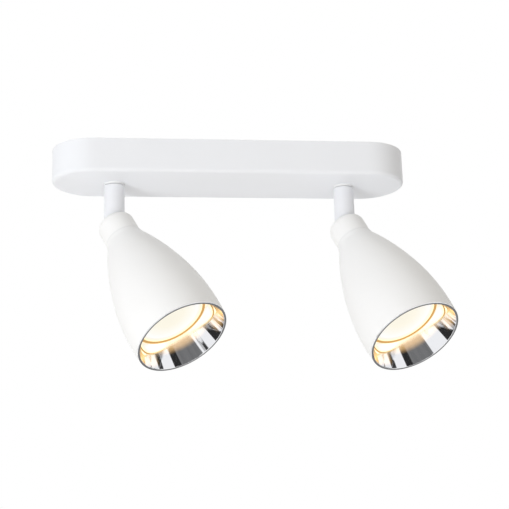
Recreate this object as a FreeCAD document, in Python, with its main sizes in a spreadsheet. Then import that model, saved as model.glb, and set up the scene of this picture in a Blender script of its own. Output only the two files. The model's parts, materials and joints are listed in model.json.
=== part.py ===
import FreeCAD, Part
import math
import os
import Sketcher

# Twin pivoting spotlight. Millimetres, +Z up. The origin is the middle of the mounting face, which
# is the plane z = 0: the fitting hangs below it. X runs along the base. Each lamp swivels about a
# vertical stem and tilts about a pin that is hidden inside the collar at the back of its head.

SIZES = (
    # base cover
    ("base_length", 260.0, "overall length of the oblong base"),
    ("base_width", 60.0, "overall width, and the diameter of its round ends"),
    ("base_height", 25.0, "height of the base off the wall or ceiling"),
    ("cover_wall", 1.2, "sheet thickness of the cover"),
    ("cover_edge_radius", 2.5, "outside radius of the lower edge"),
    ("rail_length", 120.0, "hook rail inside the front wall"),
    ("rail_thickness", 2.0, ""),
    ("rail_height", 4.0, ""),
    ("rail_depth", 4.5, "mounting face to the rail"),
    ("stem_spacing", 170.0, "between the two swivel axes"),
    # mounting bracket
    ("bracket_length", 124.0, ""),
    ("bracket_width", 24.0, ""),
    ("bracket_thickness", 1.5, ""),
    ("tab_spacing", 90.0, "between the two tabs of one side"),
    ("tab_width", 14.0, ""),
    ("tab_depth", 14.0, "mounting face to the end of a rear tab"),
    ("hook_reach", 3.8, "how far a front hook runs out under the rail"),
    ("tab_clearance", 0.3, "between a tab or hook and the cover wall"),
    ("slot_spacing", 100.0, "between the two fixing slots"),
    ("slot_length", 12.0, ""),
    ("slot_width", 5.0, ""),
    # cable entry
    ("cable_hole_radius", 8.0, "hole in the bracket"),
    ("cable_radius", 5.0, "bore of the grommet"),
    ("grommet_flange_radius", 10.0, ""),
    ("grommet_flange", 1.4, "thickness of its flange"),
    # cover screws
    ("cover_screw_radius", 1.45, ""),
    ("cover_screw_head_radius", 2.8, ""),
    ("cover_screw_head", 2.0, "head height"),
    ("cover_screw_length", 6.0, ""),
    ("cover_screw_depth", 8.0, "mounting face to the screw axis"),
    ("screw_clearance", 0.2, "round a screw in a plain hole"),
    ("driver_recess", 1.0, "depth of the cross in a screw head"),
    # terminal block and earth point
    ("block_x", 28.0, "centre of the terminal block"),
    ("block_length", 30.0, ""),
    ("block_width", 15.0, ""),
    ("block_height", 13.0, ""),
    ("pole_pitch", 10.0, ""),
    ("pole_radius", 2.4, "brass clamp in each pole"),
    ("pole_bore", 1.5, "wire bore of the clamp"),
    ("pole_depth", 6.5, "bracket to the clamp axis"),
    ("pole_screw_radius", 1.6, "screwdriver hole above each wire"),
    ("block_screw_radius", 1.45, ""),
    ("block_screw_head_radius", 2.0, ""),
    ("block_screw_head", 1.8, ""),
    ("block_floor", 5.0, "plastic under the head of the block screw"),
    ("earth_x", -24.0, "centre of the earth screw"),
    ("earth_screw_radius", 1.95, ""),
    ("earth_head_radius", 3.8, ""),
    ("earth_head", 3.0, ""),
    # swivel joint in the base
    ("bush_flange_radius", 7.6, "ring that shows between base and stem"),
    ("bush_flange", 1.2, "its thickness"),
    ("bush_radius", 6.5, "bush in the hole of the cover"),
    ("bush_lip", 0.3, "how far the bush stands into the base"),
    ("swivel_gap", 0.5, "between bush and stem"),
    ("nipple_radius", 4.95, "hollow threaded nipple"),
    ("nipple_bore", 3.4, ""),
    ("nipple_grip", 10.0, "length screwed into the stem"),
    ("nipple_top", 10.0, "mounting face to the end of the nipple"),
    ("running_clearance", 0.05, "radial, for turning fits"),
    ("wave_washer", 0.8, "thickness of the friction washer"),
    ("wave_washer_radius", 8.5, ""),
    ("stop_washer", 1.0, "thickness of the washer with the stop tab"),
    ("stop_washer_radius", 9.5, ""),
    ("stop_tab_reach", 13.5, "axis to the end of the tab"),
    ("stop_tab_width", 2.4, ""),
    ("stop_pin_radius", 1.2, ""),
    ("stop_pin_circle", 12.2, "axis to the stop pin"),
    ("stack_gap", 0.05, "between the washers of a stack"),
    ("swivel_nut_flats", 14.0, "across flats"),
    ("swivel_nut", 5.0, "thickness"),
    # stem and fork
    ("stem_radius", 7.5, ""),
    ("stem_bore", 4.5, ""),
    ("pivot_drop", 54.7, "mounting face to the tilt axis"),
    ("fork_slot", 6.2, "width of the slot in the stem"),
    ("fork_slot_top", 5.2, "slot above the tilt axis"),
    ("hinge_pin_radius", 2.0, ""),
    ("hinge_pin_inset", 0.4, "pin end below the skin of the stem"),
    ("pin_clearance", 0.02, "pin in the fork"),
    # tongue that carries the head
    ("tongue_thickness", 5.0, ""),
    ("tongue_radius", 4.5, "eye round the pin"),
    ("tongue_foot_radius", 10.6, ""),
    ("tongue_foot", 2.2, "thickness of the foot"),
    ("foot_gap", 0.6, "between fork end and foot"),
    ("stud_radius", 3.0, ""),
    ("stud_length", 16.0, "foot to the end of the stud"),
    ("friction_washer", 0.5, "thickness, one each side of the tongue"),
    ("friction_washer_radius", 4.4, ""),
    ("wire_hole_radius", 1.6, ""),
    ("wire_hole_circle", 8.2, ""),
    # collar
    ("collar_radius", 13.4, ""),
    ("collar_bore", 11.3, ""),
    ("collar_mouth", 10.4, "radius of the open top"),
    ("collar_lip", 0.6, "flat rim round the mouth"),
    ("collar_rise", 0.3, "rim above the tilt axis"),
    ("collar_mouth_depth", 2.5, ""),
    ("collar_shoulder", 3.9, "height of the rounded shoulder"),
    ("collar_shoulder_radius", 7.0, ""),
    ("collar_straight", 8.0, ""),
    ("collar_foot_radius", 13.3, "at the seam with the head"),
    ("collar_end", 17.5, "tilt axis to the lower end"),
    # head shell
    ("seam_gap", 0.3, "shadow line between collar and shell"),
    ("shell_wall", 1.0, ""),
    ("shell_plate", 2.0, "thickness of the back plate"),
    ("shell_neck_radius", 13.8, ""),
    ("shell_neck_end", 22.0, "tilt axis to the end of the neck"),
    ("shell_neck_end_radius", 14.9, ""),
    ("shell_cone_arc", 204.0, "radius of the arc from neck to waist"),
    ("shell_waist", 58.0, "tilt axis to the waist"),
    ("shell_waist_radius", 27.9, ""),
    ("shell_belly_arc", 165.0, "radius of the arc from waist to opening"),
    ("shell_mouth", 115.4, "tilt axis to the opening"),
    ("shell_mouth_radius", 33.2, ""),
    # fixing of the head
    ("head_nut_flats", 10.0, ""),
    ("head_nut", 5.0, ""),
    ("spacer_circle", 9.4, "axis to each spacer"),
    ("spacer_radius", 2.8, ""),
    ("spacer_length", 11.2, "back plate to the lamp holder"),
    ("holder_screw_radius", 1.45, ""),
    ("holder_screw_head_radius", 2.6, ""),
    ("holder_screw_head", 2.0, ""),
    ("holder_screw_recess", 3.0, "head below the face of the holder"),
    # lamp holder and lamp
    ("holder_radius", 13.5, ""),
    ("holder_length", 15.0, ""),
    ("holder_edge", 1.5, "bevel at the back of the holder"),
    ("lamp_pin_spacing", 10.0, "two-pin lamp base"),
    ("lamp_pin_radius", 1.25, ""),
    ("lamp_pin_head_radius", 2.4, ""),
    ("lamp_pin_head", 2.0, ""),
    ("lamp_pin_length", 6.7, ""),
    ("pin_socket_radius", 2.7, ""),
    ("pin_socket_depth", 8.0, ""),
    ("lamp_gap", 0.3, "between holder and lamp base"),
    ("lamp_base_radius", 11.0, ""),
    ("lamp_base_length", 8.7, ""),
    ("lamp_length", 49.0, "back of the base to the front rim"),
    ("lamp_radius", 25.0, ""),
    ("lamp_rim", 3.0, "height of the front rim"),
    ("lamp_glass", 1.2, ""),
    ("lamp_bowl_arc", 52.0, ""),
    ("lens_thickness", 2.4, ""),
    ("lens_gap", 0.1, "round the lens and between bowl and base"),
    # reflector ring
    ("ring_wall", 0.6, ""),
    ("ring_flange", 0.6, "thickness of the rim over the edge of the shell"),
    ("ring_face", 1.5, "width of the rim"),
    ("ring_gap", 0.1, "between ring and shell"),
    ("ring_lip", 1.2, "height of the lip inside the shell"),
    ("ring_depth", 19.5, "opening to the inner edge"),
    ("ring_inner_radius", 26.2, ""),
    ("ring_return", 2.0, "short tube behind the inner edge"),
    # the pose of the photographed fitting
    ("rest_tilt_left", 34.5, "degrees away from straight down"),
    ("rest_tilt_right", 33.2, ""),
    ("rest_swivel_left", -46.8, "degrees from +X about +Z"),
    ("rest_swivel_right", -57.0, ""),
)


class Size:
    """A number together with the sheet expression that gives it."""

    def __init__(self, value, text):
        self.value = float(value)
        self.text = text

    @staticmethod
    def of(other):
        return other if isinstance(other, Size) else Size(other, "(%r)" % float(other))

    def __add__(self, other):
        other = Size.of(other)
        return Size(self.value + other.value, "(%s + %s)" % (self.text, other.text))

    def __sub__(self, other):
        other = Size.of(other)
        return Size(self.value - other.value, "(%s - %s)" % (self.text, other.text))

    def __mul__(self, other):
        other = Size.of(other)
        return Size(self.value * other.value, "(%s * %s)" % (self.text, other.text))

    def __truediv__(self, other):
        other = Size.of(other)
        return Size(self.value / other.value, "(%s / %s)" % (self.text, other.text))

    def __neg__(self):
        return Size(-self.value, "(0 - %s)" % self.text)

    def __radd__(self, other):
        return Size.of(other) + self

    def __rsub__(self, other):
        return Size.of(other) - self

    def __rmul__(self, other):
        return Size.of(other) * self


class Sizes:
    """The sheet's cells by name, such as s.base_length."""

    def __init__(self, doc):
        sheet = doc.addObject("Spreadsheet::Sheet", "sizes")
        for row, (alias, value, note) in enumerate(SIZES, start=1):
            sheet.set("A%d" % row, alias)
            sheet.set("B%d" % row, repr(value))
            sheet.setAlias("B%d" % row, alias)
            sheet.set("C%d" % row, note)
            setattr(self, alias, Size(value, "sizes." + alias))
        doc.recompute()


def bind(owner, path, size):
    """Sets one property or constraint to a size, by expression where the size has one."""
    if isinstance(size, Size):
        owner.setExpression(path, size.text)


def new_body(doc, label):
    body = doc.addObject("PartDesign::Body", label)
    body.Label = label
    return body


def new_sketch(body, plane, offset=None):
    """A sketch on one of the body's own planes, moved along the plane's normal by offset."""
    sketch = body.newObject("Sketcher::SketchObject", body.Name + "_sketch")
    origin_plane = [item for item in body.Origin.OriginFeatures if item.Role == plane + "_Plane"][0]
    sketch.AttachmentSupport = [(origin_plane, "")]
    sketch.MapMode = "FlatFace"
    if offset is not None:
        offset = Size.of(offset)
        sketch.AttachmentOffset = FreeCAD.Placement(FreeCAD.Vector(0, 0, offset.value), FreeCAD.Rotation())
        sketch.setExpression("AttachmentOffset.Base.z", offset.text)
    return sketch


def fix_point(sketch, geometry, position, x, y):
    """Fixes a point of the sketch at x, y from the sketch's origin."""
    for kind, size in (("DistanceX", Size.of(x)), ("DistanceY", Size.of(y))):
        index = sketch.addConstraint(Sketcher.Constraint(kind, -1, 1, geometry, position, size.value))
        bind(sketch, "Constraints[%d]" % index, size)


def fix_radius(sketch, geometry, radius):
    index = sketch.addConstraint(Sketcher.Constraint("Radius", geometry, Size.of(radius).value))
    bind(sketch, "Constraints[%d]" % index, radius)


def add_profile(sketch, points):
    """A closed outline. A point is (x, y), or (x, y, r) where an arc of radius r leaves it: a
    positive r turns anticlockwise towards the next point, a negative one clockwise."""
    corners = [FreeCAD.Vector(Size.of(p[0]).value, Size.of(p[1]).value, 0) for p in points]
    segments = []
    for i, point in enumerate(points):
        start, end = corners[i], corners[(i + 1) % len(points)]
        if len(point) == 2:
            index = sketch.addGeometry(Part.LineSegment(start, end), False)
            segments.append((index, 1, 2))
            continue
        radius = Size.of(point[2]).value
        chord = end - start
        reach = math.sqrt(max(radius * radius - chord.Length * chord.Length / 4.0, 0.0))
        left = FreeCAD.Vector(-chord.y, chord.x, 0).normalize()
        centre = (start + end) * 0.5 + left * (reach if radius > 0 else -reach)
        first, last = (start, end) if radius > 0 else (end, start)
        angles = [math.atan2(p.y - centre.y, p.x - centre.x) for p in (first, last)]
        if angles[1] < angles[0]:
            angles[1] += 2 * math.pi
        circle = Part.Circle(centre, FreeCAD.Vector(0, 0, 1), abs(radius))
        index = sketch.addGeometry(Part.ArcOfCircle(circle, angles[0], angles[1]), False)
        segments.append((index, 1, 2) if radius > 0 else (index, 2, 1))
    for i, (index, begin, end) in enumerate(segments):
        follower, follower_begin, _ = segments[(i + 1) % len(segments)]
        sketch.addConstraint(Sketcher.Constraint("Coincident", index, end, follower, follower_begin))
    for (index, begin, end), point in zip(segments, points):
        fix_point(sketch, index, begin, point[0], point[1])
        if len(point) == 3:
            radius = point[2]
            fix_radius(sketch, index, radius if Size.of(radius).value > 0 else -radius)


def add_rectangle(sketch, x, y, width, height):
    """A rectangle about its centre x, y."""
    half_x, half_y = Size.of(width) / 2, Size.of(height) / 2
    add_profile(sketch, [(x - half_x, y - half_y), (x + half_x, y - half_y),
                         (x + half_x, y + half_y), (x - half_x, y + half_y)])


def add_circle(sketch, x, y, radius):
    centre = FreeCAD.Vector(Size.of(x).value, Size.of(y).value, 0)
    circle = Part.Circle(centre, FreeCAD.Vector(0, 0, 1), Size.of(radius).value)
    index = sketch.addGeometry(circle, False)
    fix_point(sketch, index, 3, x, y)
    fix_radius(sketch, index, radius)


def add_oblong(sketch, x, length, width):
    """An oblong with round ends along the sketch's X axis, its centre at x, 0."""
    x, half, radius = Size.of(x), (length - width) / 2, width / 2
    right, left, r = x.value + half.value, x.value - half.value, radius.value
    up = FreeCAD.Vector(0, 0, 1)
    vector = FreeCAD.Vector
    top = sketch.addGeometry(Part.LineSegment(vector(left, r, 0), vector(right, r, 0)), False)
    east = sketch.addGeometry(Part.ArcOfCircle(Part.Circle(vector(right, 0, 0), up, r), -math.pi / 2, math.pi / 2), False)
    bottom = sketch.addGeometry(Part.LineSegment(vector(right, -r, 0), vector(left, -r, 0)), False)
    west = sketch.addGeometry(Part.ArcOfCircle(Part.Circle(vector(left, 0, 0), up, r), math.pi / 2, 3 * math.pi / 2), False)
    for first, first_end, second, second_end in ((top, 2, east, 2), (east, 1, bottom, 1), (bottom, 2, west, 2), (west, 1, top, 1)):
        sketch.addConstraint(Sketcher.Constraint("Coincident", first, first_end, second, second_end))
    for arc, centre in ((east, x + half), (west, x - half)):
        fix_point(sketch, arc, 3, centre, 0.0)
        fix_radius(sketch, arc, radius)
        for end in (1, 2):
            sketch.addConstraint(Sketcher.Constraint("Vertical", arc, 3, arc, end))


def add_hexagon(sketch, flats):
    """A hexagon about the origin, from its size across flats."""
    corner, half = flats / math.sqrt(3.0), flats / 2
    add_profile(sketch, [(corner, 0.0), (corner / 2, half), (-corner / 2, half),
                         (-corner, 0.0), (-corner / 2, -half), (corner / 2, -half)])


def pad(body, sketch, length, reverse=False, symmetric=False):
    feature = body.newObject("PartDesign::Pad", body.Name + "_pad")
    feature.Profile = sketch
    feature.Length = Size.of(length).value
    bind(feature, "Length", length)
    feature.Reversed = reverse
    if symmetric:
        feature.SideType = "Symmetric"
    return feature


def cut(body, sketch, length=None):
    """Cuts the sketch's outline out of the body on both sides of its plane: right through, or over
    a total length that the plane halves."""
    feature = body.newObject("PartDesign::Pocket", body.Name + "_cut")
    feature.Profile = sketch
    feature.SideType = "Symmetric"
    if length is None:
        feature.Type = "ThroughAll"
    else:
        feature.Length = Size.of(length).value
        bind(feature, "Length", length)
    return feature


def revolve(body, points, feature_type="PartDesign::Revolution"):
    """Turns an outline of (radius, z) points about the body's Z axis."""
    sketch = new_sketch(body, "XZ")
    add_profile(sketch, points)
    feature = body.newObject(feature_type, body.Name + "_turned")
    feature.Profile = sketch
    feature.ReferenceAxis = (sketch, ["V_Axis"])
    feature.Angle = 360
    return feature


def turned(doc, label, points):
    body = new_body(doc, label)
    revolve(body, points)
    return body


def ring(doc, label, inner, outer, top, bottom):
    return turned(doc, label, [(inner, bottom), (outer, bottom), (outer, top), (inner, top)])


def fillet(doc, body, feature, radius, chosen):
    """Rounds the edges of the feature that the test chosen picks by their bounding box."""
    doc.recompute()
    names = ["Edge%d" % (i + 1) for i, edge in enumerate(feature.Shape.Edges) if chosen(edge.BoundBox)]
    round_over = body.newObject("PartDesign::Fillet", body.Name + "_fillet")
    round_over.Base = (feature, names)
    round_over.Radius = Size.of(radius).value
    bind(round_over, "Radius", radius)
    return round_over


def place(body, x=0.0, y=0.0, z=0.0, rotation=None):
    """Moves a body, its position bound to the sheet."""
    where = [Size.of(value) for value in (x, y, z)]
    body.Placement = FreeCAD.Placement(FreeCAD.Vector(*[v.value for v in where]), rotation or FreeCAD.Rotation())
    for axis, value in zip("xyz", where):
        body.setExpression("Placement.Base." + axis, value.text)
    return body


def level(z, tolerance=0.01):
    """A test for edges that lie in the plane z."""
    return lambda box: abs(box.ZMin - z.value) < tolerance and abs(box.ZMax - z.value) < tolerance


# Base

def make_cover(doc, s):
    """Oblong pressed cover, open towards the wall, with the two bush holes and the rail that hooks
    on the bracket inside its front wall. Its screw holes are at the back."""
    body = new_body(doc, "base_cover")
    outline = new_sketch(body, "XY")
    add_oblong(outline, 0.0, s.base_length, s.base_width)
    block = pad(body, outline, s.base_height, reverse=True)
    rounded = fillet(doc, body, block, s.cover_edge_radius, level(-s.base_height))
    hollow = new_sketch(body, "XY")
    add_oblong(hollow, 0.0, s.base_length - s.cover_wall * 2, s.base_width - s.cover_wall * 2)
    pocket = cut(body, hollow, (s.base_height - s.cover_wall) * 2)
    fillet(doc, body, pocket, s.cover_edge_radius - s.cover_wall, level(s.cover_wall - s.base_height))
    rail = new_sketch(body, "XY", -s.rail_depth)
    add_rectangle(rail, 0.0, s.cover_wall + s.rail_thickness / 2 - s.base_width / 2, s.rail_length, s.rail_thickness)
    pad(body, rail, s.rail_height, reverse=True)
    holes = new_sketch(body, "XY", -s.base_height)
    for side in (-1, 1):
        add_circle(holes, side * s.stem_spacing / 2, 0.0, s.bush_radius + s.running_clearance)
    cut(body, holes, s.cover_wall * 3)
    screw_holes = new_sketch(body, "XZ", s.cover_wall / 2 - s.base_width / 2)
    for side in (-1, 1):
        add_circle(screw_holes, side * s.tab_spacing / 2, -s.cover_screw_depth, s.cover_screw_radius + s.screw_clearance)
    cut(body, screw_holes, s.cover_wall * 3)
    pins = new_sketch(body, "XY", -s.base_height)
    for side, rest_swivel in ((-1, s.rest_swivel_left), (1, s.rest_swivel_right)):
        swivel = math.radians(rest_swivel.value)
        add_circle(pins, side * s.stem_spacing / 2 - s.stop_pin_circle * math.cos(swivel),
                   -s.stop_pin_circle * math.sin(swivel), s.stop_pin_radius + s.pin_clearance)
    cut(body, pins, s.cover_wall * 3)
    return body


def make_bracket(doc, s):
    """Steel strap on the wall: two fixing slots, the cable hole, two rear tabs that take the cover
    screws and two front tabs that end in hooks under the rail of the cover."""
    body = new_body(doc, "mounting_bracket")
    thickness = s.bracket_thickness
    rear = s.base_width / 2 - s.cover_wall - s.tab_clearance
    front = s.base_width / 2 - s.cover_wall - s.rail_thickness - s.tab_clearance
    strap = new_sketch(body, "XY")
    half_length, half_width, half_tab = s.bracket_length / 2, s.bracket_width / 2, s.tab_width / 2
    tab = s.tab_spacing / 2
    add_profile(strap, [
        (-half_length, -half_width), (-tab - half_tab, -half_width), (-tab - half_tab, -front), (-tab + half_tab, -front),
        (-tab + half_tab, -half_width), (tab - half_tab, -half_width), (tab - half_tab, -front), (tab + half_tab, -front),
        (tab + half_tab, -half_width), (half_length, -half_width), (half_length, half_width), (tab + half_tab, half_width),
        (tab + half_tab, rear), (tab - half_tab, rear), (tab - half_tab, half_width), (-tab + half_tab, half_width),
        (-tab + half_tab, rear), (-tab - half_tab, rear), (-tab - half_tab, half_width), (-half_length, half_width)])
    pad(body, strap, thickness, reverse=True)
    rear_tabs = new_sketch(body, "XY")
    front_tabs = new_sketch(body, "XY")
    hook_top = s.rail_depth + s.rail_height
    for side in (-1, 1):
        add_rectangle(rear_tabs, side * tab, rear - thickness / 2, s.tab_width, thickness)
        add_rectangle(front_tabs, side * tab, thickness / 2 - front, s.tab_width, thickness)
    pad(body, rear_tabs, s.tab_depth, reverse=True)
    pad(body, front_tabs, hook_top + thickness, reverse=True)
    hooks = new_sketch(body, "XY", -hook_top)
    for side in (-1, 1):
        add_rectangle(hooks, side * tab, thickness - front - s.hook_reach / 2, s.tab_width, s.hook_reach)
    pad(body, hooks, thickness, reverse=True)
    for side in (-1, 1):
        slot = new_sketch(body, "XY")
        add_oblong(slot, side * s.slot_spacing / 2, s.slot_length, s.slot_width)
        cut(body, slot, thickness * 3)
    holes = new_sketch(body, "XY")
    add_circle(holes, 0.0, 0.0, s.cable_hole_radius)
    add_circle(holes, s.block_x - s.pole_pitch / 2, 0.0, s.block_screw_radius + s.running_clearance)
    add_circle(holes, s.earth_x, 0.0, s.earth_screw_radius + s.running_clearance)
    cut(body, holes, thickness * 3)
    tab_holes = new_sketch(body, "XZ", thickness / 2 - rear)
    for side in (-1, 1):
        add_circle(tab_holes, side * tab, -s.cover_screw_depth, s.cover_screw_radius + s.running_clearance)
    cut(body, tab_holes, thickness * 3)
    return body


def cross_recess(s, screw, face, radius, x=0.0):
    """Cross for the driver, cut into both sides of the plane of a screw head's face."""
    for width, length in ((0.34, 1.25), (1.25, 0.34)):
        arm = new_sketch(screw, "XY", face)
        add_rectangle(arm, x, 0.0, radius * width, radius * length)
        cut(screw, arm, s.driver_recess * 2)


def make_wiring(doc, s):
    """Grommet, terminal block with its clamps and screw, and earth screw, all on the bracket."""
    thickness = s.bracket_thickness
    neck = s.cable_hole_radius - s.running_clearance
    turned(doc, "cable_grommet", [
        (s.cable_radius, 0.0), (neck, 0.0), (neck, -thickness), (s.grommet_flange_radius, -thickness),
        (s.grommet_flange_radius, -thickness - s.grommet_flange), (s.cable_radius, -thickness - s.grommet_flange)])

    block = new_body(doc, "terminal_block")
    footprint = new_sketch(block, "XY")
    add_rectangle(footprint, 0.0, 0.0, s.block_length, s.block_width)
    pad(block, footprint, s.block_height, reverse=True)
    bores = new_sketch(block, "XZ")
    for pole in (-1, 0, 1):
        add_circle(bores, pole * s.pole_pitch, -s.pole_depth, s.pole_radius + s.running_clearance)
    cut(block, bores)
    drivers = new_sketch(block, "XY", -s.block_height)
    for pole in (-1, 0, 1):
        for end in (-1, 1):
            add_circle(drivers, pole * s.pole_pitch, end * s.block_width / 4, s.pole_screw_radius)
    cut(block, drivers, (s.block_height - s.pole_depth) * 2)
    screw_hole = new_sketch(block, "XY")
    add_circle(screw_hole, -s.pole_pitch / 2, 0.0, s.block_screw_radius + s.running_clearance)
    cut(block, screw_hole)
    recess = new_sketch(block, "XY", -s.block_height)
    add_circle(recess, -s.pole_pitch / 2, 0.0, s.block_screw_head_radius + s.screw_clearance)
    cut(block, recess, (s.block_height - s.block_floor) * 2)
    place(block, s.block_x, 0.0, -thickness)

    upright = FreeCAD.Rotation(FreeCAD.Vector(1, 0, 0), 90)
    for pole, name in ((-1, "terminal_clamp_one"), (0, "terminal_clamp_two"), (1, "terminal_clamp_three")):
        clamp = ring(doc, name, s.pole_bore, s.pole_radius, s.block_width / 2, -s.block_width / 2)
        place(clamp, s.block_x + pole * s.pole_pitch, 0.0, -thickness - s.pole_depth, upright)

    head = -thickness - s.block_floor
    turned(doc, "block_screw", [
        (0.0, 0.0), (s.block_screw_radius, 0.0), (s.block_screw_radius, head), (s.block_screw_head_radius, head),
        (s.block_screw_head_radius, head - s.block_screw_head), (0.0, head - s.block_screw_head)])
    cross_recess(s, doc.getObject("block_screw"), head - s.block_screw_head, s.block_screw_head_radius)
    place(doc.getObject("block_screw"), s.block_x - s.pole_pitch / 2)
    turned(doc, "earth_screw", [
        (0.0, 0.0), (s.earth_screw_radius, 0.0), (s.earth_screw_radius, -thickness), (s.earth_head_radius, -thickness),
        (s.earth_head_radius, -thickness - s.earth_head), (0.0, -thickness - s.earth_head)])
    cross_recess(s, doc.getObject("earth_screw"), -thickness - s.earth_head, s.earth_head_radius)
    place(doc.getObject("earth_screw"), s.earth_x)


def make_cover_screws(doc, s):
    """Two pan-head screws through the rear wall of the cover into the rear tabs."""
    into_cover = FreeCAD.Rotation(FreeCAD.Vector(1, 0, 0), 90)
    for side, name in ((-1, "cover_screw_left"), (1, "cover_screw_right")):
        screw = turned(doc, name, [
            (0.0, -s.cover_screw_head), (s.cover_screw_head_radius, -s.cover_screw_head), (s.cover_screw_head_radius, 0.0),
            (s.cover_screw_radius, 0.0), (s.cover_screw_radius, s.cover_screw_length), (0.0, s.cover_screw_length)])
        cross_recess(s, screw, -s.cover_screw_head, s.cover_screw_head_radius)
        place(screw, side * s.tab_spacing / 2, s.base_width / 2, -s.cover_screw_depth, into_cover)


# Swivel joint and arm

def make_arm(doc, s, side, word, rest_swivel):
    """Bush and stop pin in the base, then what turns with the stem. The arm's frame has its Z on
    the swivel axis and its X in the plane that the head tilts in."""
    x = side * s.stem_spacing / 2
    turn = FreeCAD.Rotation(FreeCAD.Vector(0, 0, 1), rest_swivel.value)
    inside = s.cover_wall - s.base_height
    bore = s.nipple_radius + s.running_clearance

    bush = turned(doc, "swivel_bush_" + word, [
        (bore, -s.base_height - s.bush_flange), (s.bush_flange_radius, -s.base_height - s.bush_flange),
        (s.bush_flange_radius, -s.base_height), (s.bush_radius, -s.base_height),
        (s.bush_radius, inside + s.bush_lip), (bore, inside + s.bush_lip)])
    place(bush, x, 0.0, 0.0, turn)

    wave_bottom = inside + s.bush_lip + s.stack_gap
    stop_bottom = wave_bottom + s.wave_washer + s.stack_gap
    nut_bottom = stop_bottom + s.stop_washer + s.stack_gap
    pin = turned(doc, "stop_pin_" + word, [
        (0.0, -s.base_height + s.cover_wall / 3), (s.stop_pin_radius, -s.base_height + s.cover_wall / 3),
        (s.stop_pin_radius, stop_bottom + s.stop_washer), (0.0, stop_bottom + s.stop_washer)])
    swivel = math.radians(rest_swivel.value)
    place(pin, x - s.stop_pin_circle * math.cos(swivel), -s.stop_pin_circle * math.sin(swivel))

    wave = ring(doc, "swivel_washer_" + word, bore, s.wave_washer_radius, wave_bottom + s.wave_washer, wave_bottom)
    place(wave, x, 0.0, 0.0, turn)

    stop = new_body(doc, "stop_washer_" + word)
    disc = new_sketch(stop, "XY", stop_bottom)
    add_circle(disc, 0.0, 0.0, s.stop_washer_radius)
    pad(stop, disc, s.stop_washer)
    tab = new_sketch(stop, "XY", stop_bottom)
    reach = s.stop_tab_reach - s.stop_washer_radius / 2
    add_rectangle(tab, s.stop_washer_radius / 2 + reach / 2, 0.0, reach, s.stop_tab_width)
    pad(stop, tab, s.stop_washer)
    hole = new_sketch(stop, "XY", stop_bottom)
    add_circle(hole, 0.0, 0.0, bore)
    cut(stop, hole, s.stop_washer * 4)
    place(stop, x, 0.0, 0.0, turn)

    nut = new_body(doc, "swivel_nut_" + word)
    hexagon = new_sketch(nut, "XY", nut_bottom)
    add_hexagon(hexagon, s.swivel_nut_flats)
    pad(nut, hexagon, s.swivel_nut)
    thread = new_sketch(nut, "XY", nut_bottom)
    add_circle(thread, 0.0, 0.0, bore)
    cut(nut, thread, s.swivel_nut * 4)
    place(nut, x, 0.0, 0.0, turn)

    stem_top = -s.base_height - s.bush_flange - s.swivel_gap
    nipple = ring(doc, "nipple_" + word, s.nipple_bore, s.nipple_radius, -s.nipple_top, stem_top - s.nipple_grip)
    place(nipple, x, 0.0, 0.0, turn)

    make_stem(doc, s, word, x, turn, stem_top, bore)

    along_pin = turn.multiply(FreeCAD.Rotation(FreeCAD.Vector(1, 0, 0), 90))
    half_pin = s.stem_radius - s.hinge_pin_inset
    hinge_pin = turned(doc, "hinge_pin_" + word, [
        (0.0, -half_pin), (s.hinge_pin_radius, -half_pin), (s.hinge_pin_radius, half_pin), (0.0, half_pin)])
    place(hinge_pin, x, 0.0, -s.pivot_drop, along_pin)
    near = s.tongue_thickness / 2 + s.stack_gap
    for end, letter in ((-1, "front"), (1, "rear")):
        washer = ring(doc, "hinge_washer_%s_%s" % (letter, word), s.hinge_pin_radius + s.running_clearance, s.friction_washer_radius,
                      end * near + (s.friction_washer if end > 0 else 0.0), end * near - (s.friction_washer if end < 0 else 0.0))
        place(washer, x, 0.0, -s.pivot_drop, along_pin)


def make_stem(doc, s, word, x, turn, stem_top, bore):
    """Turned stem. Its lower end is a fork: a slot for the tongue, two cheeks rounded about the
    tilt axis, and the hole for the hinge pin."""
    body = new_body(doc, "stem_" + word)
    bottom = -s.pivot_drop - s.stem_radius
    thread_end = stem_top - s.nipple_grip - s.swivel_gap
    revolve(body, [
        (bore, stem_top), (bore, thread_end), (s.stem_bore, thread_end), (s.stem_bore, bottom),
        (s.stem_radius, bottom), (s.stem_radius, stem_top)])
    # the slot, open at the bottom and along the arm's X
    slot = new_sketch(body, "YZ")
    slot_top = s.fork_slot_top - s.pivot_drop
    add_profile(slot, [(-s.fork_slot / 2, bottom - s.foot_gap), (s.fork_slot / 2, bottom - s.foot_gap),
                       (s.fork_slot / 2, slot_top), (-s.fork_slot / 2, slot_top)])
    cut(body, slot)
    # what lies outside the round end of each cheek
    over = s.stem_radius + s.foot_gap
    for end in (-1, 1):
        corner = new_sketch(body, "XZ")
        points = [(end * s.stem_radius, -s.pivot_drop), (end * over, -s.pivot_drop), (end * over, bottom - s.foot_gap),
                  (0.0, bottom - s.foot_gap), (0.0, bottom, end * s.stem_radius)]
        add_profile(corner, points)
        cut(body, corner)
    hole = new_sketch(body, "XZ")
    add_circle(hole, 0.0, -s.pivot_drop, s.hinge_pin_radius + s.pin_clearance)
    cut(body, hole)
    return place(body, x, 0.0, 0.0, turn)


# Head. Its frame has the tilt axis along Y through the origin and the opening towards -Z.

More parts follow.
